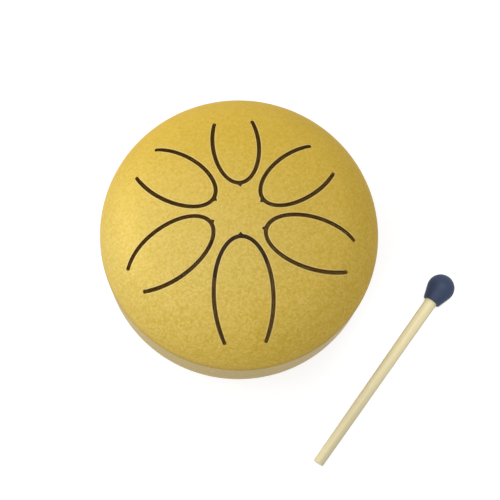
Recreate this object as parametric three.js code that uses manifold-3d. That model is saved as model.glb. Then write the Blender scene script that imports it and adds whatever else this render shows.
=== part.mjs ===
// A small six-note steel tongue drum on three rubber feet, with its mallet lying beside it.
// Millimetres, +Z up, floor at z = 0. The longest tongue points towards -Y, where the player sits.
import * as THREE from "three";
import { mergeVertices } from "three/addons/utils/BufferGeometryUtils.js";
import Module from "manifold-3d";

const wasm = await Module();
wasm.setup();

// Bowls: two steel pressings joined at a seam round the widest part of the drum
const DRUM_DIAMETER = 78;
const SHEET = 1;
const SHOULDER_RADIUS = 17.5;
const CROWN_RISE = 3.5;
const WALL_HEIGHT = 14;
const WALL_DRAFT = 2.8;
const BASE_RADIUS = 10;
const SPIGOT_HEIGHT = 3;
const SPIGOT_CHAMFER = 0.3;
const SOUND_HOLE_DIAMETER = 18;

// Tongues: one per note, lowest first. Bearing in degrees; the rest are shares of the drum's radius:
// sideways offset of the tongue's axis, radius of its free end, length, widest width and root width.
const TONGUES = [
  { bearing: -87.2, offset: -0.012, apex: 0.175, length: 0.689, width: 0.407, root: 0.285 },
  { bearing: -144.9, offset: -0.057, apex: 0.216, length: 0.621, width: 0.365, root: 0.205 },
  { bearing: -13.9, offset: -0.077, apex: 0.195, length: 0.601, width: 0.362, root: 0.234 },
  { bearing: 147.5, offset: 0.022, apex: 0.213, length: 0.553, width: 0.352, root: 0.249 },
  { bearing: 38.7, offset: -0.027, apex: 0.176, length: 0.529, width: 0.339, root: 0.26 },
  { bearing: 95.1, offset: -0.011, apex: 0.211, length: 0.481, width: 0.323, root: 0.267 },
];
const SLOT_WIDTH = 1;
const ROOT_GAP = 0.3;
const NICK_WIDTH = 1.2;
const NICK_DEPTH = 0.65;

// Feet: push-in rubber, spread evenly round the flat base
const FOOT_COUNT = 3;
const FIRST_FOOT_BEARING = 90;
const FOOT_DIAMETER = 8;
const FOOT_HEIGHT = 3;
const FOOT_CHAMFER = 0.5;
const DIMPLE_DIAMETER = 3;
const DIMPLE_DEPTH = 0.8;
const STEM_DIAMETER = 3.4;
const BARB_DIAMETER = 5;
const BARB_HEIGHT = 1.8;

// Mallet: tapered stick in the blind socket of a ball-ended head
const MALLET_LENGTH = 67.2;
const HEAD_DIAMETER = 8.1;
const NECK_DIAMETER = 5.2;
const NECK_LENGTH = 5.1;
const NECK_LIP = 0.2;
const SOCKET_DEPTH = 6;
const STICK_TOP_DIAMETER = 3.7;
const STICK_BUTT_DIAMETER = 3.1;
const BUTT_CHAMFER = 0.15;

// Where the mallet lies: its bearing, its distance from the drum's wall, and how far along it the ball is
const MALLET_BEARING = 54.2;
const MALLET_DISTANCE = 15;
const MALLET_BALL_AHEAD = 27.5;

// Clearances and facets
const FIT_GAP = 0.3;
const SOCKET_GAP = 0.2;
const DRUM_FACETS = 48;
const SMALL_FACETS = 18;
const CURVE_STEPS = 12;

// Heights and radii that follow from the sizes above
const RADIUS = DRUM_DIAMETER / 2;
const BASE_Z = FOOT_HEIGHT;
const SEAM_Z = BASE_Z + BASE_RADIUS + WALL_HEIGHT;
const TOP_Z = SEAM_Z + SHOULDER_RADIUS + CROWN_RISE;
const SHOULDER_CENTRE = RADIUS - SHOULDER_RADIUS;
const CROWN_RADIUS =
  (SHOULDER_CENTRE ** 2 + CROWN_RISE ** 2 + 2 * SHOULDER_RADIUS * CROWN_RISE) / (2 * CROWN_RISE);
const CROWN_CENTRE_Z = TOP_Z - CROWN_RADIUS;
const TANGENT = Math.atan2(SEAM_Z - CROWN_CENTRE_Z, SHOULDER_CENTRE);
const DRAFT = THREE.MathUtils.degToRad(WALL_DRAFT);
const FLAT_RADIUS = RADIUS - WALL_HEIGHT * Math.tan(DRAFT) - BASE_RADIUS / Math.cos(DRAFT);
const FOOT_CIRCLE = (SOUND_HOLE_DIAMETER / 2 + FLAT_RADIUS) / 2;
const FOOT_HOLE_RADIUS = STEM_DIAMETER / 2 + FIT_GAP;

const rad = THREE.MathUtils.degToRad;
const point = (r, z) => new THREE.Vector2(r, z);

const paint = { color: 0xd2b455, roughness: 0.42, metalness: 0.55 };
const rubber = { color: 0x1e1e20, roughness: 0.8, metalness: 0 };
const blueRubber = { color: 0x404a5e, roughness: 0.6, metalness: 0 };
const wood = { color: 0xdfd2a8, roughness: 0.65, metalness: 0 };

// Points on a circular arc in the half-plane (r, z), angles from the +r axis.
function arc(r, z, radius, from, to, steps) {
  return Array.from({ length: steps + 1 }, (_, i) => {
    const angle = from + ((to - from) * i) / steps;
    return point(r + radius * Math.cos(angle), z + radius * Math.sin(angle));
  });
}

// A profile turned about the Z axis; it runs anticlockwise in (r, z).
function turned(profile, facets) {
  const geometry = new THREE.LatheGeometry(profile, facets);
  geometry.rotateX(Math.PI / 2);
  return geometry;
}

// A geometry as a solid that can be cut: corners are shared and the flat slivers on the axis dropped.
function solid(geometry) {
  geometry.deleteAttribute("normal");
  geometry.deleteAttribute("uv");
  const merged = mergeVertices(geometry, 1e-4);
  const corners = Array.from(merged.index.array);
  const triangles = [];
  for (let i = 0; i < corners.length; i += 3) {
    const [a, b, c] = corners.slice(i, i + 3);
    if (a !== b && b !== c && c !== a) {
      triangles.push(a, b, c);
    }
  }
  const vertProperties = merged.attributes.position.array;
  const triVerts = new Uint32Array(triangles);
  return new wasm.Manifold(new wasm.Mesh({ numProp: 3, vertProperties, triVerts }));
}

// A cut solid as a geometry again.
function surface(body) {
  const { vertProperties, triVerts } = body.getMesh();
  const geometry = new THREE.BufferGeometry();
  geometry.setAttribute("position", new THREE.BufferAttribute(vertProperties, 3));
  geometry.setIndex(new THREE.BufferAttribute(triVerts, 1));
  geometry.computeVertexNormals();
  return geometry;
}

function piece(name, geometry, look) {
  const mesh = new THREE.Mesh(geometry, new THREE.MeshStandardMaterial(look));
  mesh.name = name;
  return mesh;
}

// The top bowl's section from the axis to the rim: crown arc, then a shoulder arc tangent to it.
function topFace(inset) {
  return [
    ...arc(0, CROWN_CENTRE_Z, CROWN_RADIUS - inset, Math.PI / 2, TANGENT, 5),
    ...arc(SHOULDER_CENTRE, SEAM_Z, SHOULDER_RADIUS - inset, TANGENT, 0, 9).slice(1),
  ];
}

// Plan of a tongue's edge: an ellipse cut off by the straight root line. It stands off from the slot's
// centreline by `grow`, and the outer edge has a pointed nick at the free end.
function edge(tongue, grow, setback, nicked) {
  const lean = Math.asin(tongue.root / tongue.width);
  const reach = (RADIUS * tongue.length) / (1 + Math.cos(lean));
  const centre = RADIUS * tongue.apex + reach;
  const offset = RADIUS * tongue.offset;
  const along = reach + grow;
  const across = (RADIUS * tongue.width) / 2 + grow;
  const rootLine = RADIUS * (tongue.apex + tongue.length) - setback;
  const end = Math.acos((rootLine - centre) / along);
  const shape = new THREE.Shape();
  if (nicked) {
    const bite = Math.asin(NICK_WIDTH / 2 / across);
    shape.absellipse(centre, offset, along, across, end, Math.PI - bite);
    shape.lineTo(centre - along - NICK_DEPTH, offset);
    shape.absellipse(centre, offset, along, across, Math.PI + bite, 2 * Math.PI - end);
  } else {
    shape.absellipse(centre, offset, along, across, end, 2 * Math.PI - end);
  }
  shape.closePath();
  return shape;
}

// An upright cutter with a tongue's plan, tall enough to pass through the top bowl.
function cutter(tongue, shape, curveSegments) {
  const depth = TOP_Z - SEAM_Z + SHEET;
  const geometry = new THREE.ExtrudeGeometry(shape, { depth, bevelEnabled: false, curveSegments });
  geometry.translate(0, 0, SEAM_Z);
  geometry.rotateZ(rad(tongue.bearing));
  return solid(geometry);
}

const drum = new THREE.Group();

// Top bowl and its tongues, all cut from one pressing
const pressing = solid(turned([...topFace(SHEET), ...topFace(0).reverse()], DRUM_FACETS));
const opened = TONGUES.reduce(
  (body, tongue) => body.subtract(cutter(tongue, edge(tongue, SLOT_WIDTH / 2, 0, true), CURVE_STEPS)),
  pressing,
);
drum.add(piece("upper_shell", surface(opened), paint));
TONGUES.forEach((tongue, i) => {
  const plan = edge(tongue, -SLOT_WIDTH / 2, ROOT_GAP, false);
  const body = pressing.intersect(cutter(tongue, plan, 2 * CURVE_STEPS));
  drum.add(piece(`tongue_${i + 1}`, surface(body), paint));
});

// Bottom bowl: flat base, rounded corner, drafted wall, and a stepped rim that sits inside the top bowl
const spigotOuter =
  SHOULDER_CENTRE + Math.sqrt((SHOULDER_RADIUS - SHEET) ** 2 - SPIGOT_HEIGHT ** 2) - FIT_GAP;
const spigotInner = spigotOuter - SHEET;
const step = RADIUS - SHEET - spigotInner;
const cornerZ = BASE_Z + BASE_RADIUS;
const innerWallZ = SEAM_Z - SHEET - step;
const innerWall = RADIUS - (SHEET + step) * Math.tan(DRAFT) - SHEET / Math.cos(DRAFT);
const bowlProfile = [
  point(SOUND_HOLE_DIAMETER / 2, BASE_Z),
  ...arc(FLAT_RADIUS, cornerZ, BASE_RADIUS, -Math.PI / 2, -DRAFT, 7),
  point(RADIUS, SEAM_Z),
  point(spigotOuter, SEAM_Z),
  point(spigotOuter, SEAM_Z + SPIGOT_HEIGHT - SPIGOT_CHAMFER),
  point(spigotOuter - SPIGOT_CHAMFER, SEAM_Z + SPIGOT_HEIGHT),
  point(spigotInner, SEAM_Z + SPIGOT_HEIGHT),
  point(spigotInner, SEAM_Z - SHEET),
  point(innerWall, innerWallZ),
  ...arc(FLAT_RADIUS, cornerZ, BASE_RADIUS - SHEET, -DRAFT, -Math.PI / 2, 7),
  point(SOUND_HOLE_DIAMETER / 2, BASE_Z + SHEET),
  point(SOUND_HOLE_DIAMETER / 2, BASE_Z),
];
const feet = Array.from({ length: FOOT_COUNT }, (_, i) => {
  const bearing = rad(FIRST_FOOT_BEARING + (360 * i) / FOOT_COUNT);
  return new THREE.Vector3(FOOT_CIRCLE * Math.cos(bearing), FOOT_CIRCLE * Math.sin(bearing), 0);
});
const bowl = feet.reduce((body, place) => {
  const hole = new THREE.CylinderGeometry(FOOT_HOLE_RADIUS, FOOT_HOLE_RADIUS, 4 * SHEET, SMALL_FACETS);
  hole.rotateX(Math.PI / 2);
  hole.translate(place.x, place.y, BASE_Z + SHEET / 2);
  return body.subtract(solid(hole));
}, solid(turned(bowlProfile, DRUM_FACETS)));
drum.add(piece("lower_shell", surface(bowl), paint));

// Feet: a dimpled pad below the base, a stem through its hole and a barb that holds from inside
const stem = STEM_DIAMETER / 2;
const barbZ = BASE_Z + SHEET + FIT_GAP;
const footProfile = [
  point(0, DIMPLE_DEPTH),
  point(DIMPLE_DIAMETER / 2, DIMPLE_DEPTH),
  point(DIMPLE_DIAMETER / 2, 0),
  point(FOOT_DIAMETER / 2 - FOOT_CHAMFER, 0),
  point(FOOT_DIAMETER / 2, FOOT_CHAMFER),
  point(FOOT_DIAMETER / 2, FOOT_HEIGHT),
  point(stem, FOOT_HEIGHT),
  point(stem, barbZ),
  point(BARB_DIAMETER / 2, barbZ),
  point(stem, barbZ + BARB_HEIGHT),
  point(0, barbZ + BARB_HEIGHT),
];
feet.forEach((place, i) => {
  const foot = piece(`foot_${i + 1}`, turned(footProfile, SMALL_FACETS), rubber);
  foot.position.copy(place);
  drum.add(foot);
});

// Mallet along its own Z axis, butt at 0
const mallet = new THREE.Group();
const headRadius = HEAD_DIAMETER / 2;
const neckRadius = NECK_DIAMETER / 2;
const stickTop = STICK_TOP_DIAMETER / 2;
const stickButt = STICK_BUTT_DIAMETER / 2;
const ballZ = MALLET_LENGTH - headRadius;
const mouthZ = ballZ - NECK_LENGTH;
const socketZ = mouthZ + SOCKET_DEPTH;
const bore = stickTop + SOCKET_GAP;
const stickProfile = [
  point(0, 0),
  point(stickButt - BUTT_CHAMFER, 0),
  point(stickButt, BUTT_CHAMFER),
  point(stickTop, mouthZ),
  point(stickTop, socketZ - FIT_GAP),
  point(0, socketZ - FIT_GAP),
];
mallet.add(piece("mallet_stick", turned(stickProfile, SMALL_FACETS), wood));

// The neck's cone touches the ball along a circle, found from the tangent out of the neck's mouth.
const mouthReach = Math.hypot(neckRadius, NECK_LENGTH);
const touch = Math.atan2(neckRadius, NECK_LENGTH) + Math.acos(headRadius / mouthReach);
const headProfile = [
  point(0, socketZ),
  point(bore, socketZ),
  point(bore, mouthZ),
  point(neckRadius - NECK_LIP, mouthZ),
  point(neckRadius, mouthZ + NECK_LIP),
  ...arc(0, ballZ, headRadius, touch - Math.PI / 2, Math.PI / 2, 12),
];
mallet.add(piece("mallet_head", turned(headProfile, SMALL_FACETS), blueRubber));

// The mallet lies on the floor on its ball and its butt, clear of the drum's wall.
const heading = rad(MALLET_BEARING);
const tilt = Math.asin((headRadius - stickButt) / ballZ);
const ahead = MALLET_BALL_AHEAD - ballZ * Math.cos(tilt);
const aside = RADIUS + MALLET_DISTANCE;
mallet.rotation.set(0, Math.PI / 2 - tilt, heading, "ZYX");
mallet.position.set(
  aside * Math.sin(heading) + ahead * Math.cos(heading),
  -aside * Math.cos(heading) + ahead * Math.sin(heading),
  0,
);
mallet.position.z = -new THREE.Box3().setFromObject(mallet, true).min.z;

// The set's origin is the middle of its footprint on the floor.
const set = new THREE.Group();
set.add(drum, mallet);
const box = new THREE.Box3().setFromObject(set, true);
const middle = box.getCenter(new THREE.Vector3());
set.position.set(-middle.x, -middle.y, -box.min.z);
set.updateMatrixWorld(true);

export default set;
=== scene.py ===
# %% [markdown]
# # A pocket steel tongue drum and its mallet
#
# The drum is two pressed steel bowls joined at a seam. Six petal-shaped tongues are cut in the crowned
# top bowl, and each one rings its own note. A wooden mallet with a rubber ball lies beside it.
#
# The CAD model is loaded first. It fixes every size and place, so the pieces below are only finer
# surfaces laid over it: smooth bowls, rounded slot edges, paint, wood and rubber.

# %% Load the frame
import bmesh
import bpy
import numpy as np
from mathutils import Euler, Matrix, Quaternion, Vector


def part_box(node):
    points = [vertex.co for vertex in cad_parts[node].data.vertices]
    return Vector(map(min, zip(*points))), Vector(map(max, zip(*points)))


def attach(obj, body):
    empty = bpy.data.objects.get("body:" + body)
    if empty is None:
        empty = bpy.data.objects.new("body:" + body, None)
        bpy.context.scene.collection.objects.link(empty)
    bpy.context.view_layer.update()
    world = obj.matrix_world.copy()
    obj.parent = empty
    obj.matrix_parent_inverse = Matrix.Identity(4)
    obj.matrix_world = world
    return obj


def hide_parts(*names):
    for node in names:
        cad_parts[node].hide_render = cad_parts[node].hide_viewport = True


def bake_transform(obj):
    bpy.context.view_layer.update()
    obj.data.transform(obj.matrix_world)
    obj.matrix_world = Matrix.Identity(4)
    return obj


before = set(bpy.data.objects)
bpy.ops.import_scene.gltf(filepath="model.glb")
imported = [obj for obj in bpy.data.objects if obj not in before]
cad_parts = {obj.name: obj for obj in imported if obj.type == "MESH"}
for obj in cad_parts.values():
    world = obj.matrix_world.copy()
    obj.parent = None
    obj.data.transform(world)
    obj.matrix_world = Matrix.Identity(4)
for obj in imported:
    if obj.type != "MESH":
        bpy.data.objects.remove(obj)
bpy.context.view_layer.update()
MM = 0.001


def box_mm(node):
    """Lowest and highest corner of a CAD node, in millimetres."""
    return np.array(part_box(node)) / MM


base_low, base_high = box_mm("lower_shell")
top_low, top_high = box_mm("upper_shell")
AXIS = (base_low[:2] + base_high[:2]) / 2
BASE, SEAM, TOP = base_low[2], top_low[2], top_high[2]
print(f"drum axis at {AXIS.round(2)} mm, seam {SEAM:.2f} mm and top {TOP:.2f} mm above the floor")

# %% [markdown]
# ## Helpers for meshes
#
# A surface can be modelled by hand, but a drum is all curves with formulas. Each surface here is a grid:
# rows of points, each row a closed loop. One helper gives the grid's faces and another puts points
# and faces into a mesh. Points that meet, such as a pole where a whole row falls together, are welded.

# %% Grid faces and mesh pieces
WELD_MM = 1e-4


def grid_faces(rows, columns, first=0):
    """Quads of a grid whose rows are closed loops: each corner, the next one along, and the same pair
    one row on."""
    along = np.arange(columns)
    corner = first + np.arange(rows - 1)[:, None] * columns
    here, following = corner + along, corner + (along + 1) % columns
    return np.stack([here, following, following + columns, here + columns], -1).reshape(-1, 4)


def join_grids(*grids):
    """Several grids as one list of points and one list of faces."""
    points = [grid.reshape(-1, grid.shape[-1]) for grid in grids]
    starts = np.cumsum([0] + [len(part) for part in points[:-1]])
    faces = [grid_faces(*grid.shape[:2], start) for grid, start in zip(grids, starts)]
    return np.concatenate(points), np.concatenate(faces)


def add_piece(name, grids, finish, node):
    """Makes a closed mesh from grids of points in millimetres, welds it, turns all its faces outwards
    (a closed mesh has a positive volume when they do) and lets it stand for a CAD node. A fourth value
    on the points is kept in the mesh: how far over a cut edge they are."""
    points, faces = join_grids(*grids)
    mesh = bpy.data.meshes.new(name)
    mesh.from_pydata(points[:, :3] * MM, [], faces.tolist())
    if points.shape[1] == 4:
        over_edge = mesh.attributes.new("over_edge", "FLOAT", "POINT")
        over_edge.data.foreach_set("value", points[:, 3].astype(np.float32))
    work = bmesh.new()
    work.from_mesh(mesh)
    bmesh.ops.remove_doubles(work, verts=work.verts, dist=WELD_MM * MM)
    bmesh.ops.recalc_face_normals(work, faces=work.faces)
    faults = sum(not (edge.is_manifold and edge.is_contiguous) for edge in work.edges)
    volume = work.calc_volume(signed=True) / MM**3
    work.to_mesh(mesh)
    work.free()
    mesh.polygons.foreach_set("use_smooth", np.ones(len(mesh.polygons), bool))
    mesh.materials.append(finish)
    piece = bpy.data.objects.new(name, mesh)
    bpy.context.collection.objects.link(piece)
    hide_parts(node)
    print(f"{name}: {len(mesh.polygons)} faces, {volume:.0f} mm3, {faults} open or twisted edges")
    return piece


print(f"3 rows of 4 points give {len(grid_faces(3, 4))} faces")

# %% [markdown]
# ## Helpers for finishes
#
# Every finish is a small node tree. Colours are written as sRGB hex values, as a paint chart gives
# them, and turned to linear light once. One function adds a node with its settings and links, so a
# material reads from top to bottom like a recipe.

# %% Colours and nodes
MIX_A, MIX_B, MIX_COLOUR = 6, 7, 2


def linear(hex_colour):
    """sRGB hex to linear RGBA: each channel through the sRGB curve."""
    srgb = np.array([int(hex_colour[i:i + 2], 16) for i in (1, 3, 5)]) / 255
    light = np.where(srgb <= 0.04045, srgb / 12.92, ((srgb + 0.055) / 1.055) ** 2.4)
    return (*light.tolist(), 1.0)


def add_node(tree, kind, inputs=None, **settings):
    """Adds a node. settings are its own properties; inputs gives each socket a value or a link."""
    made = tree.nodes.new(kind)
    for name, value in settings.items():
        setattr(made, name, value)
    for socket, value in (inputs or {}).items():
        if isinstance(value, bpy.types.NodeSocket):
            tree.links.new(value, made.inputs[socket])
        else:
            made.inputs[socket].default_value = value
    return made


def new_finish(name):
    """An empty material with its output node."""
    finish = bpy.data.materials.new(name)
    finish.use_nodes = True
    tree = finish.node_tree
    tree.nodes.clear()
    return finish, tree, add_node(tree, "ShaderNodeOutputMaterial")


def per_mm(size_mm):
    """Texture scale that makes one cell of a pattern size_mm wide in Object coordinates (metres)."""
    return 1 / (size_mm * MM)


print(f"mid grey #808080 is {linear('#808080')[0]:.3f} in linear light")

# %% [markdown]
# ## Gold flake paint
#
# The bowls are sprayed with a satin paint full of fine metal flakes. The flakes give the eye a sandy
# sparkle: each grain is a little lighter or darker than the next, and the surface is slightly pebbled.
# A flat picture of speckles would show seams on a bowl, so the pattern is worked out in space: Voronoi
# cells stand for the flakes, a fine noise for the pebbles and a slow one for uneven spraying. The grain
# is stronger towards the player.

# %% Grain of the paint
# Real flakes are under a tenth of a millimetre. They are drawn as coarse as they need to be to show.
FLAKE_MM, PEBBLE_MM, SPRAY_MM = 0.55, 0.85, 14.0
PEBBLE_SHARE, SPRAY_SHARE = 0.5, 0.15
GRAIN_REACH_MM, FAR_GRAIN, NEAR_GRAIN = 30.0, 0.6, 1.28


def add_paint_grain(tree, place):
    """Three values from 0 to 1: each flake's own tone, flakes and pebbles mixed, and that mix with the
    spray, whose swing about the middle grows towards the player."""
    flakes = add_node(tree, "ShaderNodeTexVoronoi", {"Vector": place, "Scale": per_mm(FLAKE_MM)})
    flake_tone = add_node(tree, "ShaderNodeSeparateColor", {"Color": flakes.outputs["Color"]}).outputs["Red"]
    pebbles = add_node(tree, "ShaderNodeTexNoise",
                       {"Vector": place, "Scale": per_mm(PEBBLE_MM), "Detail": 2.0, "Roughness": 0.6})
    spray = add_node(tree, "ShaderNodeTexNoise",
                     {"Vector": place, "Scale": per_mm(SPRAY_MM), "Detail": 2.0})
    grain = add_node(tree, "ShaderNodeMix", {0: PEBBLE_SHARE, 2: flake_tone, 3: pebbles.outputs["Fac"]},
                     data_type="FLOAT").outputs[0]
    mixed = add_node(tree, "ShaderNodeMix", {0: SPRAY_SHARE, 2: grain, 3: spray.outputs["Fac"]},
                     data_type="FLOAT").outputs[0]
    depth = add_node(tree, "ShaderNodeSeparateXYZ", {0: place}).outputs["Y"]
    growth = add_node(tree, "ShaderNodeMapRange", {
        "Value": depth, "From Min": (AXIS[1] + GRAIN_REACH_MM) * MM,
        "From Max": (AXIS[1] - GRAIN_REACH_MM) * MM, "To Min": FAR_GRAIN, "To Max": NEAR_GRAIN})
    swing = add_node(tree, "ShaderNodeMath", {0: mixed, 1: 0.5}, operation="SUBTRACT")
    tone = add_node(tree, "ShaderNodeMath", {0: swing.outputs[0], 1: growth.outputs[0], 2: 0.5},
                    operation="MULTIPLY_ADD").outputs[0]
    return flake_tone, grain, tone


print(f"flakes {FLAKE_MM} mm, pebbles {PEBBLE_MM} mm")

# %% [markdown]
# The coat is painted paler in a broad patch left of the middle, a painted sheen where the crown reflects
# the light, and richer towards the rims. Below the seam it is painted darker and greyer: painted shade.
# A smooth step over the distance from the patch, and another over the height, fade one coat into the next.

# %% Coats of the paint
# The first coat is paler paint laid in a patch left of the middle: a painted sheen. The last is darker and
# greyer: painted shade below the seam.
SHEEN_COAT, RICH_COAT, LOW_SHADE_COAT = ("#cdaf44", "#ebd17d"), ("#c5a11f", "#eccb65"), ("#9c8110", "#ceb247")
SHEEN_PATCH_MM, SHEEN_STRETCH, SHEEN_REACH_MM, SHEEN_FADE_MM = (-30.0, -12.0), 2.0, 2.0, 42.0
FADE_ABOVE_MM, FADE_BELOW_MM = 3.5, 1.05
FLATTEN = 1e6


def add_paint_coats(tree, place, tone):
    """The colour of the paint: tone picks between each coat's darker and paler colour. The distance from the
    painted sheen patch and the height above the seam, below which the painted shade lies, pick the coat."""
    sheened, rich, low = (
        add_node(tree, "ShaderNodeMix", {0: tone, MIX_A: linear(dark), MIX_B: linear(pale)},
                 data_type="RGBA").outputs[MIX_COLOUR]
        for dark, pale in (SHEEN_COAT, RICH_COAT, LOW_SHADE_COAT))
    # A painted sheen: a paler coat in a patch left of the middle, fading into the rich coat towards the
    # rims.
    patch = add_node(tree, "ShaderNodeMapping", {
        "Vector": place, "Location": (*((AXIS + SHEEN_PATCH_MM) * MM), 0),
        "Scale": (SHEEN_STRETCH, 1.0, FLATTEN)}, vector_type="TEXTURE")
    from_patch = add_node(tree, "ShaderNodeVectorMath", {0: patch.outputs[0]}, operation="LENGTH")
    sheen_fade = add_node(tree, "ShaderNodeMapRange", {
        "Value": from_patch.outputs["Value"],
        "From Min": SHEEN_REACH_MM * MM, "From Max": SHEEN_FADE_MM * MM}, interpolation_type="SMOOTHSTEP")
    coat = add_node(tree, "ShaderNodeMix", {0: sheen_fade.outputs[0], MIX_A: sheened, MIX_B: rich},
                    data_type="RGBA").outputs[MIX_COLOUR]
    # Painted shade: from just above the seam down, the coat turns darker and greyer.
    height = add_node(tree, "ShaderNodeSeparateXYZ", {0: place}).outputs["Z"]
    below = add_node(tree, "ShaderNodeMapRange", {
        "Value": height, "From Min": (SEAM + FADE_ABOVE_MM) * MM, "From Max": (SEAM - FADE_BELOW_MM) * MM},
        interpolation_type="SMOOTHSTEP")
    return add_node(tree, "ShaderNodeMix", {0: below.outputs[0], MIX_A: coat, MIX_B: low},
                    data_type="RGBA").outputs[MIX_COLOUR]


print(f"coats fade from {FADE_ABOVE_MM} mm above the seam to {FADE_BELOW_MM} mm below it")

# %% [markdown]
# Along a slot a pale line is painted at the top of the edge: a painted highlight, as the rounded edge
# catches the light. The cut itself is bare steel, its darkness partly painted shade in the slot, and the
# inside is painted pale gold: painted light, standing for light bounced about in the drum. The mesh
# says where: its over_edge value is 0 on the open face, 1 at the top of a cut edge, 2 in the cut and 3
# inside. A very faint glow inside stands for light that goes on bouncing about in the closed drum after
# a renderer has stopped following it. The bottom bowl has a clear lacquer over the paint, which mirrors
# the table at a low angle.

# %% Gold flake paint
ON_FACE, AT_EDGE, IN_CUT, INSIDE = 0.0, 1.0, 2.0, 3.0
# A pale line at the top of each cut edge: a painted highlight.
EDGE_HIGHLIGHT_PAINT, EDGE_HIGHLIGHT_SHARE = "#f0e2a6", 0.7
# Bare cut steel, darkened further as painted shade in the slot.
CUT_STEEL_AND_SHADE, CUT_DEEP = "#7a5c2c", 1.4
# The inside is painted pale gold: painted light, standing for light bounced about in the drum.
INNER_PAINTED_LIGHT, INNER_FROM, INNER_FULL = "#f4d98e", 2.2, 2.8
CAVITY_GLOW, GLOW_COLOUR = 0.007, "#ffeb78"
SMOOTH_FLAKE, ROUGH_FLAKE = 0.42, 0.58
PEBBLE_HEIGHT_MM = 0.04


def make_gold_flake_paint(name, lacquer):
    """Satin flake paint under a clear lacquer of a given weight: grain, coats, then the painted edge
    highlight, the cut steel with its painted shade and the painted light inside, laid over one another by
    over_edge."""
    finish, tree, out = new_finish(name)
    place = add_node(tree, "ShaderNodeTexCoord").outputs["Object"]
    flake_tone, grain, tone = add_paint_grain(tree, place)
    colour = add_paint_coats(tree, place, tone)
    over_edge = add_node(tree, "ShaderNodeAttribute", attribute_name="over_edge").outputs["Fac"]
    # Painted highlight at the top of the edge, bare steel with painted shade in the cut, and painted light
    # inside.
    for shade, first, last, share in ((EDGE_HIGHLIGHT_PAINT, ON_FACE, AT_EDGE, EDGE_HIGHLIGHT_SHARE),
                                      (CUT_STEEL_AND_SHADE, AT_EDGE, CUT_DEEP, 1.0),
                                      (INNER_PAINTED_LIGHT, INNER_FROM, INNER_FULL, 1.0)):
        edge_and_inside_share = add_node(tree, "ShaderNodeMapRange", {
            "Value": over_edge, "From Min": first, "From Max": last, "To Max": share}).outputs[0]
        colour = add_node(tree, "ShaderNodeMix", {0: edge_and_inside_share, MIX_A: colour, MIX_B: linear(shade)},
                          data_type="RGBA").outputs[MIX_COLOUR]
    glow = add_node(tree, "ShaderNodeMath", {0: edge_and_inside_share, 1: CAVITY_GLOW}, operation="MULTIPLY")
    gloss = add_node(tree, "ShaderNodeMapRange",
                     {"Value": flake_tone, "To Min": SMOOTH_FLAKE, "To Max": ROUGH_FLAKE})
    bump = add_node(tree, "ShaderNodeBump",
                    {"Height": grain, "Strength": 0.5, "Distance": PEBBLE_HEIGHT_MM * MM})
    skin = add_node(tree, "ShaderNodeBsdfPrincipled", {
        "Base Color": colour, "Metallic": 0.2, "Roughness": gloss.outputs[0],
        "Specular IOR Level": 0.05, "Specular Tint": linear("#e0b050"),
        "Coat Weight": lacquer, "Coat Roughness": 0.3, "Normal": bump.outputs["Normal"],
        "Emission Color": linear(GLOW_COLOUR), "Emission Strength": glow.outputs[0]})
    tree.links.new(skin.outputs["BSDF"], out.inputs["Surface"])
    return finish


face_paint = make_gold_flake_paint("gold_flake_spray_paint", 0.0)
base_paint = make_gold_flake_paint("lacquered_gold_flake_paint", 0.42)
print("finishes:", face_paint.name, base_paint.name)

# %% [markdown]
# ## The face of the top bowl
#
# The top bowl is a shallow crown that turns down through a rounded shoulder to the seam: two arcs that
# touch. A point on it is best found by walking from the pole: how far (along the steel) and in which
# direction. That is the bowl unrolled flat, and straight lines drawn there stay evenly spaced on the
# steep shoulder, where a plan seen from above would crowd them.

# %% Arcs of the top bowl
RADIUS, SHEET, SHOULDER, CROWN_RISE = 39.0, 1.0, 17.5, 3.5
SHOULDER_AXIS = RADIUS - SHOULDER
CROWN = (SHOULDER_AXIS**2 + CROWN_RISE**2 + 2 * SHOULDER * CROWN_RISE) / (2 * CROWN_RISE)
CROWN_Z = TOP - CROWN
CROWN_FALL = np.arctan2(SHOULDER_AXIS, SEAM - CROWN_Z)
CROWN_REACH = CROWN * CROWN_FALL
RIM_REACH = CROWN_REACH + SHOULDER * (np.pi / 2 - CROWN_FALL)
TINY = 1e-9


def on_bowl(flat, depth):
    """Points of the top bowl from its unrolled plane. The tilt of the steel is the distance walked over
    the crown's radius, then over the shoulder's; the point lies on that arc, moved depth inwards."""
    walked = np.linalg.norm(flat, axis=-1)
    heading = flat / np.maximum(walked, TINY)[..., None]
    crown = walked < CROWN_REACH
    tilt = np.where(crown, walked / CROWN, CROWN_FALL + (walked - CROWN_REACH) / SHOULDER)
    r = np.where(crown, CROWN, SHOULDER) * np.sin(tilt) + np.where(crown, 0, SHOULDER_AXIS)
    z = np.where(crown, CROWN, SHOULDER) * np.cos(tilt) + np.where(crown, CROWN_Z, SEAM)
    plan = AXIS + heading * (r - depth * np.sin(tilt))[..., None]
    return np.concatenate([plan, (z - depth * np.cos(tilt))[..., None]], -1)


def unroll(plan, depth):
    """Plan points, seen from above, as points of the unrolled plane: same heading, walked distance. They
    are the points that on_bowl puts straight below the plan, depth into the sheet."""
    r = np.linalg.norm(plan, axis=-1)
    on_crown = CROWN * np.arcsin(np.clip(r / (CROWN - depth), 0, 1))
    turned = np.arcsin(np.clip((r - SHOULDER_AXIS) / (SHOULDER - depth), -1, 1)) - CROWN_FALL
    walked = np.where(r < (CROWN - depth) * np.sin(CROWN_FALL), on_crown, CROWN_REACH + SHOULDER * turned)
    return plan * (walked / np.maximum(r, TINY))[..., None]


print(f"crown radius {CROWN:.1f} mm, face {RIM_REACH:.1f} mm from pole to rim along the steel")

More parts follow.
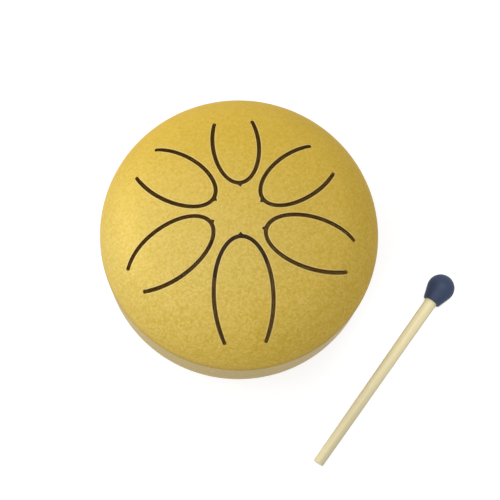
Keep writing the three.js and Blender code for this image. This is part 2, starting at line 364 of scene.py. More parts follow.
# %% [markdown]
# ## The slots
#
# Each slot is a 1 mm wide ellipse left open at the rim side, where the tongue stays joined to the bowl:
# its root. A small pointed nick marks the free end. The same ellipse, grown by half a slot, is the edge
# of the bowl, and shrunk by half a slot, the edge of the tongue. A boolean cut would make the slots too,
# but it leaves ragged faces that can't be rounded well. So the outlines are drawn as a cutter sees
# them, from straight above, and the skin is built up to them.

# %% Outlines of the slots
# Lowest note first: bearing, then shares of the drum's radius: offset, free end, length, width and
# root width.
NOTES = (
    (-87.2, -0.012, 0.175, 0.689, 0.407, 0.285),
    (-144.9, -0.057, 0.216, 0.621, 0.365, 0.205),
    (-13.9, -0.077, 0.195, 0.601, 0.362, 0.234),
    (147.5, 0.022, 0.213, 0.553, 0.352, 0.249),
    (38.7, -0.027, 0.176, 0.529, 0.339, 0.260),
    (95.1, -0.011, 0.211, 0.481, 0.323, 0.267),
)
SLOT, NICK_WIDTH, NICK_DEPTH = 1.0, 1.2, 0.65
ARC_STEPS, NICK_STEPS, END_STEPS, ROOT_STEPS = 56, 4, 8, 24
LOOP = 2 * (NICK_STEPS + ARC_STEPS + END_STEPS) + ROOT_STEPS


def walk(start, stop, steps):
    """Evenly spaced points from start up to, but not including, stop."""
    share = np.arange(steps)[:, None] / steps
    return np.array(start) * (1 - share) + np.array(stop) * share


def slot_ellipse(note, grow):
    """Centre, half axes and root angle of a slot's edge: an ellipse whose free end and root line are
    given, standing off from the slot's middle by grow. Angles start at the free end."""
    offset, free_end, length, width, root = np.array(note[1:]) * RADIUS
    reach = length / (1 + np.cos(np.arcsin(root / width)))
    centre = np.array([free_end + reach, offset])
    half = np.array([reach + grow, width / 2 + grow])
    root_angle = np.arccos((centre[0] - free_end - length) / half[0])
    return centre, half, root_angle


def ellipse_points(centre, half, start, stop, steps):
    """Points of an ellipse: centre minus the long half axis times the cosine, plus the short one times
    the sine."""
    angle = walk([start], [stop], steps)[:, 0]
    return centre + np.stack([-half[0] * np.cos(angle), half[1] * np.sin(angle)], -1)


def turn_to_note(note, local):
    """Local points (along and across the tongue) turned to the tongue's bearing."""
    bearing = np.radians(note[0])
    along = np.array([np.cos(bearing), np.sin(bearing)])
    across = np.array([-np.sin(bearing), np.cos(bearing)])
    return local[:, :1] * along + local[:, 1:] * across


def tongue_outline(note):
    """The tongue's edge seen from above: from its free end along one side, across the root and back."""
    centre, half, root_angle = slot_ellipse(note, -SLOT / 2)
    root = ellipse_points(centre, half, -root_angle, root_angle, 1)[0]
    far = 2 * centre[1] - root[1]
    local = np.concatenate([
        ellipse_points(centre, half, 0, -root_angle, ARC_STEPS),
        walk(root, [root[0], far], ROOT_STEPS),
        ellipse_points(centre, half, root_angle, 0, ARC_STEPS)])
    return turn_to_note(note, local)


def opening_outline(note):
    """The bowl's edge round a tongue seen from above: nick, side, round slot end, root, and back."""
    centre, half, root_angle = slot_ellipse(note, SLOT / 2)
    inner_centre, inner_half, inner_angle = slot_ellipse(note, -SLOT / 2)
    outer = ellipse_points(centre, half, -root_angle, 0, 1)[0]
    inner = ellipse_points(inner_centre, inner_half, -inner_angle, 0, 1)[0]
    mirror = np.array([1, -1]), np.array([0, 2 * centre[1]])
    bite = np.arcsin(NICK_WIDTH / 2 / half[1])
    tip = centre - [half[0] + NICK_DEPTH, 0]
    shoulder = ellipse_points(centre, half, -bite, 0, 1)[0]
    round_angle = walk([-np.pi / 2], [np.pi / 2], END_STEPS)
    slot_end = (outer + inner) / 2 + (inner[1] - outer[1]) / 2 * np.concatenate(
        [np.cos(round_angle), np.sin(round_angle)], -1)
    side = np.concatenate([
        walk(tip, shoulder, NICK_STEPS),
        ellipse_points(centre, half, -bite, -root_angle, ARC_STEPS), slot_end])
    root = walk(inner, inner * mirror[0] + mirror[1], ROOT_STEPS)
    back = np.concatenate([side[1:], inner[None]])[::-1] * mirror[0] + mirror[1]
    return turn_to_note(note, np.concatenate([side, root, back]))


print(f"{len(NOTES)} slots, {LOOP} points round each opening")

# %% [markdown]
# ## Rounded slot edges
#
# Cut steel that has been painted never has a knife edge: the paint rounds it, and the rounded edge
# catches a thin line of light. So each loop of the grid carries a profile: across the outer face, over
# a small quarter round, straight down through the sheet, over a second round and back across the inner
# face. Along the root there is no cut, so there the rounding shrinks to nothing and the tongue's paint
# runs on into the bowl's.

# %% Profile through the sheet
EDGE_ROUND, ROOT_ROUND, EDGE_SUPPORT = 0.14, 0.004, 0.2
QUARTER = np.radians([0, 22.5, 45, 67.5, 90])


def away_from(loops):
    """Unit normals of closed loops in their plane: the chord between a point's neighbours, turned a
    quarter."""
    chord = np.roll(loops, -1, -2) - np.roll(loops, 1, -2)
    normal = np.stack([chord[..., 1], -chord[..., 0]], -1)
    return normal / np.linalg.norm(normal, axis=-1, keepdims=True)


def through_sheet(plan, side, rounding, far, far_steps):
    """Rows of a solid sheet with a rounded edge, cut straight down along plan. They run from the loop far
    over the outer face to the edge, round it, through the sheet and back under the inner face to far.
    The sheet lies on the side (1 or -1) of the edge's normals. Each point carries how far over the edge
    it is; along the root, where there is no cut, the outer face stays at nothing."""
    rounding = rounding[:, None]
    on_face = np.zeros((far_steps, len(plan), 1))
    sunk = rounding * (1 - np.cos(QUARTER))[:, None, None]
    depth = np.concatenate([on_face, sunk, SHEET - sunk[::-1], on_face + SHEET])
    edge = unroll(plan, depth[..., 0])
    from_face = on_face + rounding * (1 + EDGE_SUPPORT / EDGE_ROUND)
    from_round = rounding * (1 - np.sin(QUARTER))[:, None, None]
    setback = np.concatenate([from_face, from_round, from_round[::-1], from_face])
    near = edge + side * away_from(edge) * setback
    out = np.linspace(0, 1, far_steps)
    share = np.concatenate([out, np.ones(2 * len(QUARTER)), out[::-1]])[:, None, None]
    cut_share = (rounding - ROOT_ROUND) / (EDGE_ROUND - ROOT_ROUND)
    over = (AT_EDGE + QUARTER / QUARTER[-1])[:, None, None] * cut_share
    over_edge = np.concatenate([on_face + ON_FACE, over, np.full_like(over, IN_CUT), on_face + INSIDE])
    return np.concatenate([on_bowl(far * (1 - share) + near * share, depth[..., 0]), over_edge], -1)


def round_on_slot(loop_length, root_start, root_steps, fade):
    """Rounding along a loop: full along the slot, nearly none along the root, fading at its corners."""
    index = np.arange(loop_length)
    from_root = np.maximum(root_start - index, index - (root_start + root_steps))
    share = np.clip(from_root / fade, 0, 1)
    return ROOT_ROUND + (EDGE_ROUND - ROOT_ROUND) * share


print(f"slot edges rounded by {EDGE_ROUND} mm in a {SHEET} mm sheet")

# %% [markdown]
# ## The top bowl's skin
#
# A surface with six holes has no single grid. It is cut along the plain ribs between the tongues into
# six sectors, and in each sector loops run from the sector's border in to the slot. Neighbours use the
# same points along their shared rib, so they weld into one skin. A small disc closes the middle, and
# the rim is turned under at the seam.

# %% Sectors, disc and rim
HUB, HUB_STEPS, RIB_STEPS, RIM_STEPS = 3.6, 8, 46, 52
RIB_CROWDING = 1.3
SEAM_ROUND = 0.05
RIM_EDGE = RIM_REACH - SEAM_ROUND
SECTOR_ROWS, DISC_ROWS, ROOT_FAN = 13, 6, 3.0


def polar(reach, bearing):
    """Points of the unrolled plane at a walked distance and a bearing in degrees."""
    angle = np.radians(bearing)
    return np.stack(np.broadcast_arrays(reach * np.cos(angle), reach * np.sin(angle)), -1)


def bearings_near(points, bearing):
    """Bearings of points in degrees, counted within half a turn of a given bearing."""
    turn = np.degrees(np.arctan2(points[:, 1], points[:, 0])) - bearing
    return bearing + (turn + 180) % 360 - 180


def rim_bearings(opening, sector):
    """Bearings of a sector's rim points. They lie opposite the slot ends and the root, and fan out a
    little beside each slot end, so that the lines of the grid run past it and never fold over it."""
    seen = bearings_near(opening, sector[1])
    first = HUB_STEPS + RIB_STEPS
    corners = np.cumsum([NICK_STEPS + ARC_STEPS, END_STEPS, ROOT_STEPS, END_STEPS])
    fan = np.array([0, ROOT_FAN, -ROOT_FAN, 0])
    return np.interp(np.arange(RIM_STEPS), [0, *(corners - first), RIM_STEPS],
                     [sector[0], *(seen[corners] + fan), sector[2]])


def sector_border(clockwise, nick, anticlockwise, rim_points):
    """A sector's border, starting on the hub in line with the nick: hub, rib, rim, rib, hub."""
    share = np.arange(RIB_STEPS) / RIB_STEPS
    out = HUB + (RIM_EDGE - HUB) * share**RIB_CROWDING
    back = HUB + (RIM_EDGE - HUB) * (1 - share) ** RIB_CROWDING
    return np.concatenate([
        polar(HUB, walk([nick], [clockwise], HUB_STEPS)[:, 0]),
        polar(out, clockwise),
        polar(RIM_EDGE, rim_points),
        polar(back, anticlockwise),
        polar(HUB, walk([anticlockwise], [nick], HUB_STEPS)[:, 0])])


def sector_skin(opening, sector):
    """One sector of the bowl: loops from its border to the slot, through the sheet and back."""
    half_end = END_STEPS // 2
    rounding = round_on_slot(LOOP, NICK_STEPS + ARC_STEPS + half_end, ROOT_STEPS + END_STEPS, half_end)
    border = sector_border(*sector, rim_bearings(opening, sector))
    return through_sheet(opening, 1, rounding, border, SECTOR_ROWS)


def on_face_and_under(flat):
    """A patch of the bowl's outer face and, with its rows reversed, of its inner face."""
    size = (*flat.shape[:2], 1)
    return [np.concatenate([on_bowl(rows, depth), np.full(size, over)], -1)
            for rows, depth, over in ((flat, 0.0, ON_FACE), (flat[::-1], SHEET, INSIDE))]


def seam_rim(bearings):
    """The rim turned under at the seam: a quarter round, a flat and a quarter round, carried round the
    drum between the skin's outer and inner edges."""
    outer, inner = (face[0] for face in on_face_and_under(polar(RIM_EDGE, bearings)[None]))
    share = SEAM_ROUND / SHEET
    across = np.concatenate([(1 - np.cos(QUARTER)) * share, 1 - (1 - np.cos(QUARTER[::-1])) * share])
    down = np.concatenate([np.sin(QUARTER), np.sin(QUARTER[::-1])])
    rows = outer + (inner - outer) * across[:, None, None]
    rows[..., 2] -= (rows[..., 2] - SEAM) * down[:, None]
    return rows


print(f"a sector has {2 * (SECTOR_ROWS + len(QUARTER))} loops of {LOOP} points")

# %% [markdown]
# The ribs lie halfway between neighbouring slots, so each sector is as wide as its tongue needs. Going
# round anticlockwise, the sectors' hub points make the edge of the disc and their rim points the seam.

# %% Top bowl
notes = sorted(NOTES, key=lambda note: note[0] % 360)
openings = [opening_outline(note) for note in notes]
seen_from_axis = [bearings_near(opening, note[0] % 360) for opening, note in zip(openings, notes)]
spans = np.array([(seen.min(), seen[0], seen.max()) for seen in seen_from_axis])
ribs = (spans[:, 2] + np.append(spans[1:, 0], spans[0, 0] + 360)) / 2
sectors = np.stack([np.append(ribs[-1] - 360, ribs[:-1]), spans[:, 1], ribs], -1)
print("ribs at bearings", ribs.round(1), "gaps beside them", (2 * (ribs - spans[:, 2])).round(1), "degrees")
hub = np.concatenate([np.concatenate([walk([cw], [nick], HUB_STEPS), walk([nick], [acw], HUB_STEPS)])
                      for cw, nick, acw in sectors])[:, 0]
rim = np.concatenate([rim_bearings(opening, sector) for opening, sector in zip(openings, sectors)])
disc = on_face_and_under(polar(HUB, hub) * np.linspace(1, 0, DISC_ROWS)[:, None, None])
skins = [sector_skin(opening, sector) for opening, sector in zip(openings, sectors)]
top_bowl = add_piece("top_bowl", [*skins, *disc, seam_rim(rim)], face_paint, "upper_shell")
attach(top_bowl, "drum_body")

# %% [markdown]
# ## The tongues
#
# Each tongue is a loop drawn in to its middle, with the same rounded edge. On the real drum it is one
# sheet with the bowl and bends from its root when it is struck.

# %% Six tongues
TONGUE_ROWS, ROOT_FADE_STEPS = 15, 4


def tongue_skin(note):
    """A tongue as a closed sheet: its outline drawn in to its middle, on both faces."""
    outline = tongue_outline(note)
    rounding = round_on_slot(len(outline), ARC_STEPS, ROOT_STEPS, ROOT_FADE_STEPS)
    middle = unroll(outline, 0).mean(0)
    return through_sheet(outline, -1, rounding, middle, TONGUE_ROWS)


for number, note in enumerate(NOTES, 1):
    node = f"tongue_{number}"
    tongue = add_piece(f"note_{number}", [tongue_skin(note)], face_paint, node)
    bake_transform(tongue)

# %% [markdown]
# ## Turned pieces
#
# The bottom bowl, the feet and the mallet are all round, so each is a profile turned about an axis. A
# sharp corner in a profile would look like a paper model: every corner is replaced by an arc that
# touches both of its sides, with one more point just outside the arc to keep the flat sides flat.

# %% Rounded profiles and turning
SUPPORT_SHARE = 0.35


def round_corners(corners, radii, steps=6, closed=False):
    """Replaces each corner of a profile by an arc of its radius. The arc touches the sides at radius
    over the tangent of half the corner's angle, and runs between the directions from its centre."""
    corners, radii = np.array(corners, float), np.array(radii, float)[:, None]
    before, after = np.roll(corners, 1, 0) - corners, np.roll(corners, -1, 0) - corners
    before /= np.linalg.norm(before, axis=1)[:, None]
    after /= np.linalg.norm(after, axis=1)[:, None]
    half = np.arccos(np.clip((before * after).sum(1), -1, 1))[:, None] / 2
    touch = radii / np.tan(half)
    middle = before + after
    middle /= np.maximum(np.linalg.norm(middle, axis=1), TINY)[:, None]
    centre = corners + middle * radii / np.sin(half)
    first = (corners + before * touch - centre)[:, None]
    last = (corners + after * touch - centre)[:, None]
    turn = np.pi - 2 * half
    share = np.linspace(0, 1, steps + 1)
    arcs = np.sin((1 - share) * turn)[..., None] * first + np.sin(share * turn)[..., None] * last
    arcs = centre[:, None] + arcs / np.sin(turn)[:, None]
    support = touch + SUPPORT_SHARE * radii
    rounded = np.concatenate([(corners + before * support)[:, None], arcs,
                              (corners + after * support)[:, None]], 1)
    if closed:
        loop = rounded.reshape(-1, 2)
        return np.concatenate([loop, loop[:1]])
    return np.concatenate([corners[:1], rounded[1:-1].reshape(-1, 2), corners[-1:]])


def turn_profile(profile, turns, place=(0, 0, 0)):
    """A profile (radius, height) turned about an upright axis at place."""
    angle = np.linspace(0, 2 * np.pi, turns, endpoint=False)
    ring = np.stack([np.cos(angle), np.sin(angle), np.zeros(turns)], -1)
    return profile[:, None, :1] * ring + profile[:, None, 1:] * np.array([0, 0, 1]) + np.array(place)


rounded_square = round_corners([(0, 0), (1, 0), (1, 1), (0, 1)], [0.1] * 4, closed=True)
print(f"a square with rounded corners has {len(rounded_square)} points")

# %% [markdown]
# ## The bottom bowl
#
# The lower pressing has a wall that leans in a little, so that it comes off its die, a rounded corner and
# a flat base with the sound hole. Its rim is stepped in to sit inside the top bowl, and the two rounded
# rims leave the fine groove that a painted seam has.

# %% Bottom bowl
CORNER, SOUND_HOLE, SPIGOT_HEIGHT, SPIGOT_GAP = 10.0, 9.0, 3.0, 0.3
LIP_ROUND, SEAM_FILLET, STEP_ROUND, STEP_FILLET = 0.3, 0.1, 0.6, 1.2
DRAFT = np.radians(2.8)
BOWL_ARC_STEPS, BOWL_TURNS, FIRST_INNER_CORNER = 14, 200, 5


def wall(height, depth=0.0):
    """Radius of the leaning wall at a height, depth into the sheet: the rim's radius less the fall below
    the seam times the lean, and less the depth measured level."""
    return RADIUS - (SEAM - height) * np.tan(DRAFT) - depth / np.cos(DRAFT)


spigot = SHOULDER_AXIS + np.sqrt((SHOULDER - SHEET) ** 2 - SPIGOT_HEIGHT**2) - SPIGOT_GAP
step = RADIUS - spigot
inner_step = SEAM - SHEET - step
bowl_corners = [
    (SOUND_HOLE, BASE), (wall(BASE), BASE), (RADIUS, SEAM), (spigot, SEAM), (spigot, SEAM + SPIGOT_HEIGHT),
    (spigot - SHEET, SEAM + SPIGOT_HEIGHT), (spigot - SHEET, SEAM - SHEET),
    (wall(inner_step, SHEET), inner_step), (wall(BASE + SHEET, SHEET), BASE + SHEET),
    (SOUND_HOLE, BASE + SHEET)]
bowl_radii = [LIP_ROUND, CORNER, SEAM_ROUND, SEAM_FILLET, LIP_ROUND, LIP_ROUND, STEP_ROUND, STEP_FILLET,
              CORNER - SHEET, LIP_ROUND]
bowl_profile = round_corners(bowl_corners, bowl_radii, BOWL_ARC_STEPS, closed=True)
bowl_grid = turn_profile(bowl_profile, BOWL_TURNS, (*AXIS, 0))
first_inner = FIRST_INNER_CORNER * len(bowl_profile) // len(bowl_corners)
over_edge = np.where(np.arange(len(bowl_profile)) > first_inner, INSIDE, ON_FACE)[:, None, None]
over_edge = np.broadcast_to(over_edge, (*bowl_grid.shape[:2], 1))
base_bowl = add_piece("base_bowl", [np.concatenate([bowl_grid, over_edge], -1)], base_paint, "lower_shell")
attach(base_bowl, "drum_body")

# %% [markdown]
# ## Rubber feet
#
# Three moulded feet are pushed into holes in the base: a soft pad with a dimple below, a stem, and a
# barb that holds from inside. Moulded rubber is nearly black, with a dry sheen and a fine matt skin.

# %% Foot rubber and feet
# The skin's real grain is finer than this. It is drawn as coarse as it needs to be to show.
RUBBER_SKIN_MM, DUST_MM, SKIN_HEIGHT_MM = 0.35, 2.4, 0.03


def make_rubber(name, dark, pale, roughness, bump_strength):
    """Moulded rubber: a matt skin whose fine grain varies the tone and the height a little."""
    finish, tree, out = new_finish(name)
    place = add_node(tree, "ShaderNodeTexCoord").outputs["Object"]
    skin_grain = add_node(tree, "ShaderNodeTexNoise", {
        "Vector": place, "Scale": per_mm(RUBBER_SKIN_MM), "Detail": 3.0, "Roughness": 0.65})
    dust = add_node(tree, "ShaderNodeTexNoise", {"Vector": place, "Scale": per_mm(DUST_MM), "Detail": 2.0})
    tone = add_node(tree, "ShaderNodeMix", {0: 0.5, 2: skin_grain.outputs["Fac"], 3: dust.outputs["Fac"]},
                    data_type="FLOAT")
    colour = add_node(tree, "ShaderNodeMix", {0: tone.outputs[0], MIX_A: linear(dark), MIX_B: linear(pale)},
                      data_type="RGBA")
    bump = add_node(tree, "ShaderNodeBump", {
        "Height": skin_grain.outputs["Fac"], "Strength": bump_strength, "Distance": SKIN_HEIGHT_MM * MM})
    skin = add_node(tree, "ShaderNodeBsdfPrincipled", {
        "Base Color": colour.outputs[MIX_COLOUR], "Roughness": roughness, "IOR": 1.45,
        "Normal": bump.outputs["Normal"]})
    tree.links.new(skin.outputs["BSDF"], out.inputs["Surface"])
    return finish


foot_rubber = make_rubber("moulded_black_rubber", "#17171a", "#2b2b2e", 0.75, 0.3)
PAD, PAD_DRAFT, DIMPLE, DIMPLE_DEPTH = 4.0, 0.15, 1.5, 0.8
STEM, BARB, BARB_LENGTH, BARB_GAP, FOOT_TURNS = 1.7, 2.5, 2.0, 0.05, 64
barb = BASE + SHEET + BARB_GAP
foot_corners = [
    (0, DIMPLE_DEPTH), (DIMPLE, DIMPLE_DEPTH), (DIMPLE, 0), (PAD - PAD_DRAFT, 0), (PAD, BASE), (STEM, BASE),
    (STEM, barb), (BARB, barb), (STEM, barb + BARB_LENGTH), (0, barb + BARB_LENGTH)]
foot_radii = [0, 0.3, 0.35, 0.5, 0.25, 0.1, 0.1, 0.3, 0.4, 0]
foot_profile = round_corners(foot_corners, foot_radii)
for number in (1, 2, 3):
    low, high = box_mm(f"foot_{number}")
    place = ((low[0] + high[0]) / 2, (low[1] + high[1]) / 2, 0)
    foot = add_piece(f"rubber_foot_{number}", [turn_profile(foot_profile, FOOT_TURNS, place)], foot_rubber,
                     f"foot_{number}")
    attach(foot, "drum_body")

# %% [markdown]
# ## Where the mallet lies
#
# The mallet rests on its ball and on the end of its stick, so it slopes a little. It is turned upright
# like the other round pieces and then laid down: the points are turned and moved, not the object, so
# that its wood grain stays with it.

# %% Laying the mallet down
HEAD, BUTT, STICK, MALLET = 4.05, 1.55, 1.85, 67.2
MALLET_BEARING, MALLET_DISTANCE, BALL_AHEAD = np.radians(54.2), 15.0, 27.5
ball = MALLET - HEAD
slope = np.arcsin((HEAD - BUTT) / ball)
lay = Euler((0, np.pi / 2 - slope, MALLET_BEARING), "XYZ")
turned = np.array(lay.to_matrix())
forward = np.array([np.cos(MALLET_BEARING), np.sin(MALLET_BEARING)])
aside = np.array([forward[1], -forward[0]]) * (RADIUS + MALLET_DISTANCE)
butt_plan = AXIS + aside + forward * (BALL_AHEAD - ball * np.cos(slope))
butt_place = np.append(butt_plan, HEAD - ball * np.sin(slope))


def lay_down(upright):
    """Points of the upright mallet, turned to its slope and bearing and moved to its butt's place."""
    return upright @ turned.T + butt_place


print("ball centre", lay_down(np.array([[0, 0, ball]])).round(2), "mm")

# %% [markdown]
# ## The stick
#
# A pale hardwood dowel, sanded and left bare. The eye sees long fine fibres along the stick and a few
# broader, slightly darker bands. Noise that is stretched along the stick gives both, in the mallet's
# own directions, so the grain runs through to the cut end as real fibres do.

# %% Bare wood
# Real fibres are a few hundredths of a millimetre wide. They are drawn as coarse as they need to be to show.
FIBRE_MM, FIBRE_LENGTH_MM, BAND_MM, FIBRE_HEIGHT_MM = 0.22, 18.0, 1.3, 0.03
DARK_WOOD, PALE_WOOD = "#d9ca9a", "#eee4bd"


def make_bare_wood():
    """Sanded wood: fine fibres and broader bands, both stretched along the stick, vary the tone."""
    finish, tree, out = new_finish("sanded_bare_birch")
    place = add_node(tree, "ShaderNodeTexCoord").outputs["Object"]
    along = add_node(tree, "ShaderNodeMapping", {
        "Vector": place, "Location": tuple(butt_place * MM), "Rotation": tuple(lay)}, vector_type="TEXTURE")
    fibre_run = add_node(tree, "ShaderNodeMapping", {
        "Vector": along.outputs[0], "Scale": (1.0, 1.0, FIBRE_MM / FIBRE_LENGTH_MM)})
    fibres = add_node(tree, "ShaderNodeTexNoise", {
        "Vector": fibre_run.outputs[0], "Scale": per_mm(FIBRE_MM), "Detail": 4.0, "Roughness": 0.6})
    bands = add_node(tree, "ShaderNodeTexNoise",
                     {"Vector": fibre_run.outputs[0], "Scale": per_mm(BAND_MM), "Detail": 2.0})
    blend = add_node(tree, "ShaderNodeMix", {0: 0.5, 2: fibres.outputs["Fac"], 3: bands.outputs["Fac"]},
                     data_type="FLOAT")
    tone = add_node(tree, "ShaderNodeMapRange",
                    {"Value": blend.outputs[0], "From Min": 0.3, "From Max": 0.7})
    colour = add_node(tree, "ShaderNodeMix", {
        0: tone.outputs[0], MIX_A: linear(DARK_WOOD), MIX_B: linear(PALE_WOOD)}, data_type="RGBA")
    bump = add_node(tree, "ShaderNodeBump",
                    {"Height": fibres.outputs["Fac"], "Strength": 0.2, "Distance": FIBRE_HEIGHT_MM * MM})
    skin = add_node(tree, "ShaderNodeBsdfPrincipled", {
        "Base Color": colour.outputs[MIX_COLOUR], "Roughness": 0.6, "IOR": 1.5,
        "Normal": bump.outputs["Normal"]})
    tree.links.new(skin.outputs["BSDF"], out.inputs["Surface"])
    return finish


bare_wood = make_bare_wood()
print("finish:", bare_wood.name)

# %% Stick
NECK, NECK_LENGTH, SOCKET, SOCKET_ROOM, STICK_TURNS = 2.6, 5.1, 6.0, 0.3, 72
mouth = ball - NECK_LENGTH
stick_end = mouth + SOCKET - SOCKET_ROOM
stick_corners = [(0, 0), (BUTT, 0), (STICK, mouth), (STICK, stick_end), (0, stick_end)]
stick_profile = round_corners(stick_corners, [0, 0.18, 5.0, 0.2, 0])
stick = add_piece("mallet_dowel", [lay_down(turn_profile(stick_profile, STICK_TURNS))], bare_wood,
                  "mallet_stick")
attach(stick, "mallet")

# %% [markdown]
# ## The head
#
# The striker is one rubber moulding: a ball that tapers into a neck and grips the stick. Its cone
# touches the ball along a circle, found from the tangent out of the neck's mouth.

# %% Blue rubber head
head_rubber = make_rubber("moulded_slate_blue_rubber", "#202c45", "#2d3d5b", 0.6, 0.2)
GRIP_GAP, BALL_STEPS, HEAD_TURNS = 0.02, 40, 96
grip, socket_end = STICK + GRIP_GAP, mouth + SOCKET
touch = np.arctan2(NECK, NECK_LENGTH) + np.arccos(HEAD / np.hypot(NECK, NECK_LENGTH))
arc = np.linspace(touch, np.pi, BALL_STEPS)
ball_profile = np.stack([HEAD * np.sin(arc), ball - HEAD * np.cos(arc)], -1)
neck_corners = [(0, socket_end), (grip, socket_end), (grip, mouth), (NECK, mouth), tuple(ball_profile[0])]
neck_profile = round_corners(neck_corners, [0, 0.3, 0.12, 0.3, 0])
ball_profile[-1, 0] = 0
head_profile = np.concatenate([neck_profile, ball_profile[1:]])
head = add_piece("mallet_ball", [lay_down(turn_profile(head_profile, HEAD_TURNS))], head_rubber,
                 "mallet_head")
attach(head, "mallet")

# %% [markdown]
# ## Floor
#
# The drum stands on a plain white sweep. The floor is white paper: its own diffuse white carries the
# shadow, and a little added light, seen only by the camera and by reflections, lifts it to white. Under
# the drum only a faint golden light is left, as comes down through the sound hole: the slots show the
# floor there.

# %% White floor
FLOOR_HALF, PAPER, WHITE, HOLE_GOLD = 1.5, "#a8a8a8", "#ffffff", "#ffb830"
# Inner and outer edge of a ring on the floor, in drum radii, and a value inside and outside of it.
ADDED_LIGHT, WHITENESS = (0.6, 0.9, 0.022, 0.78), (0.35, 0.5, 0.0, 1.0)


def directly_seen(tree):
    """1 for what the camera sees, straight, mirrored or through glass, and 0 for light on its way."""
    path = add_node(tree, "ShaderNodeLightPath").outputs
    seen = add_node(tree, "ShaderNodeMath", {0: path["Is Camera Ray"], 1: path["Is Glossy Ray"]},
                    operation="MAXIMUM")
    shown = add_node(tree, "ShaderNodeMath", {0: seen.outputs[0], 1: path["Is Transmission Ray"]},
                     operation="MAXIMUM")
    return shown.outputs[0]


def make_white_sweep():
    """White paper with added light that fades out, and turns golden, towards the drum's axis."""
    finish, tree, out = new_finish("white_paper_sweep")
    place = add_node(tree, "ShaderNodeTexCoord").outputs["Object"]
    from_axis = add_node(tree, "ShaderNodeVectorMath", {0: place, 1: (*(AXIS * MM), 0)},
                         operation="DISTANCE").outputs["Value"]
    level, whiteness = (
        add_node(tree, "ShaderNodeMapRange", {
            "Value": from_axis, "From Min": near * RADIUS * MM, "From Max": far * RADIUS * MM,
            "To Min": within, "To Max": beyond}).outputs[0]
        for near, far, within, beyond in (ADDED_LIGHT, WHITENESS))
    tint = add_node(tree, "ShaderNodeMix", {0: whiteness, MIX_A: linear(HOLE_GOLD), MIX_B: linear(WHITE)},
                    data_type="RGBA")
    lift = add_node(tree, "ShaderNodeMath", {0: directly_seen(tree), 1: level}, operation="MULTIPLY")
    glow = add_node(tree, "ShaderNodeEmission",
                    {"Color": tint.outputs[MIX_COLOUR], "Strength": lift.outputs[0]})
    paper = add_node(tree, "ShaderNodeBsdfDiffuse", {"Color": linear(PAPER)})
    both = add_node(tree, "ShaderNodeAddShader", {0: paper.outputs[0], 1: glow.outputs[0]})
    tree.links.new(both.outputs[0], out.inputs["Surface"])
    return finish


floor_mesh = bpy.data.meshes.new("floor")
floor_corners = [(x * FLOOR_HALF, y * FLOOR_HALF, 0) for x, y in ((-1, -1), (1, -1), (1, 1), (-1, 1))]
floor_mesh.from_pydata(floor_corners, [], [(0, 1, 2, 3)])
floor_mesh.materials.append(make_white_sweep())
floor = bpy.data.objects.new("floor", floor_mesh)
bpy.context.collection.objects.link(floor)
print(f"floor {2 * FLOOR_HALF} m across")

# %% [markdown]
# ## Light
#
# The room is white too, with its left wall glowing more than its right, and a soft box on the left
# models the crown. The drum keeps some light off the mallet, so two narrow beams from above, drawn out
# along the stick, even that out.

# %% White room
ROOM_LEVEL, WALL_GLOW = 0.90, (-0.40, 0.155, -0.20)


def make_white_room():
    """A world that lights by a level plus the direction's share of the wall glow, and is seen as white."""
    room = bpy.data.worlds.new("white_room")
    room.use_nodes = True
    tree = room.node_tree
    tree.nodes.clear()
    heading = add_node(tree, "ShaderNodeTexCoord").outputs["Generated"]
    towards = add_node(tree, "ShaderNodeVectorMath", {0: heading, 1: WALL_GLOW}, operation="DOT_PRODUCT")
    walls = add_node(tree, "ShaderNodeMath", {0: towards.outputs["Value"], 1: ROOM_LEVEL}, operation="ADD")
    level = add_node(tree, "ShaderNodeMix", {0: directly_seen(tree), 2: walls.outputs[0], 3: 1.0},
                     data_type="FLOAT")
    sky = add_node(tree, "ShaderNodeBackground", {"Color": linear(WHITE), "Strength": level.outputs[0]})
    add_node(tree, "ShaderNodeOutputWorld", {"Surface": sky.outputs[0]})
    return room


scene = bpy.context.scene
scene.view_settings.view_transform = "Standard"
scene.world = make_white_room()
print("room:", scene.world.name)

# %% Lamps
SOFT_BOX_PLACE, SOFT_BOX_SIZE, SOFT_BOX_WATTS = Vector((-0.68, 0.12, 0.41)), 0.6, 2.0
BEAM_HEIGHT, BEAM_WIDTH_MM, BEAM_BULB = 0.7, 34.0, 0.005
# Middle and length of each beam as shares of the mallet's length, and its power in watts.
BEAMS = ((0.8, 2.4, 4.0), (0.85, 1.24, 4.8))


def add_lamp(name, kind, place, energy, **settings):
    """A lamp at a place in metres, with its power in watts and its own settings; it shines straight down."""
    lamp = bpy.data.lights.new(name, kind)
    lamp.energy = energy
    for setting, value in settings.items():
        setattr(lamp, setting, value)
    holder = bpy.data.objects.new(name, lamp)
    holder.location = place
    bpy.context.collection.objects.link(holder)
    return holder


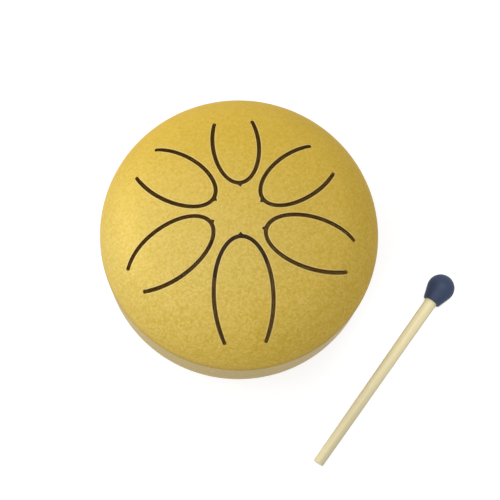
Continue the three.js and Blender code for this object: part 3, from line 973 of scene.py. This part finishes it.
centre = Vector((*(AXIS * MM), SEAM * MM))
soft_box = add_lamp("soft_box_left", "AREA", centre + SOFT_BOX_PLACE, SOFT_BOX_WATTS, shape="RECTANGLE",
                    size=SOFT_BOX_SIZE, size_y=SOFT_BOX_SIZE)
soft_box.rotation_euler = SOFT_BOX_PLACE.to_track_quat("Z", "Y").to_euler()
beam_angle = 2 * np.arctan(BEAM_WIDTH_MM / 2 * MM / BEAM_HEIGHT)
for number, (middle, length, watts) in enumerate(BEAMS, 1):
    under = Vector(lay_down(np.array([[0, 0, MALLET * middle]]))[0] * MM)
    beam = add_lamp(f"beam_over_mallet_{number}", "SPOT", under + Vector((0, 0, BEAM_HEIGHT)), watts,
                    shadow_soft_size=BEAM_BULB, spot_size=beam_angle, spot_blend=1.0)
    beam.rotation_euler = (0, 0, MALLET_BEARING)
    beam.scale = (MALLET * length / BEAM_WIDTH_MM, 1, 1)
print(f"{len(bpy.data.lights)} lamps")

# %% [markdown]
# ## Camera
#
# The view is from above and in front, about 73 degrees up: a camera that looks straight down, tipped by
# 17 degrees about a level line across the picture, which is itself turned by 5 degrees. The drum's seam
# circle and its slots give the camera's tip, distance and lens: a circle seen at an angle becomes an
# ellipse, and how much the near side is larger than the far side tells how close the camera is.

# %% Camera
TIP, TIP_BEARING, DISTANCE_MM = np.radians(17.04), np.radians(-5.3), 435.5
FRAME_PX, FOCAL_PX, CENTRE_PX = 500, 1551.3, np.array([239.2, 234.2])
tipped = Quaternion((np.cos(TIP_BEARING), np.sin(TIP_BEARING), 0), TIP)
view = bpy.data.cameras.new("photo_view")
view.sensor_width = 36
view.lens = FOCAL_PX * view.sensor_width / FRAME_PX
view.shift_x, view.shift_y = (CENTRE_PX / FRAME_PX - 0.5) * [-1, 1]
view.clip_start = 0.01
camera = bpy.data.objects.new("photo_view", view)
camera.location = centre + tipped @ Vector((0, 0, DISTANCE_MM * MM))
camera.rotation_euler = tipped.to_euler()
bpy.context.collection.objects.link(camera)
scene.camera = camera
print(f"lens {view.lens:.1f} mm")
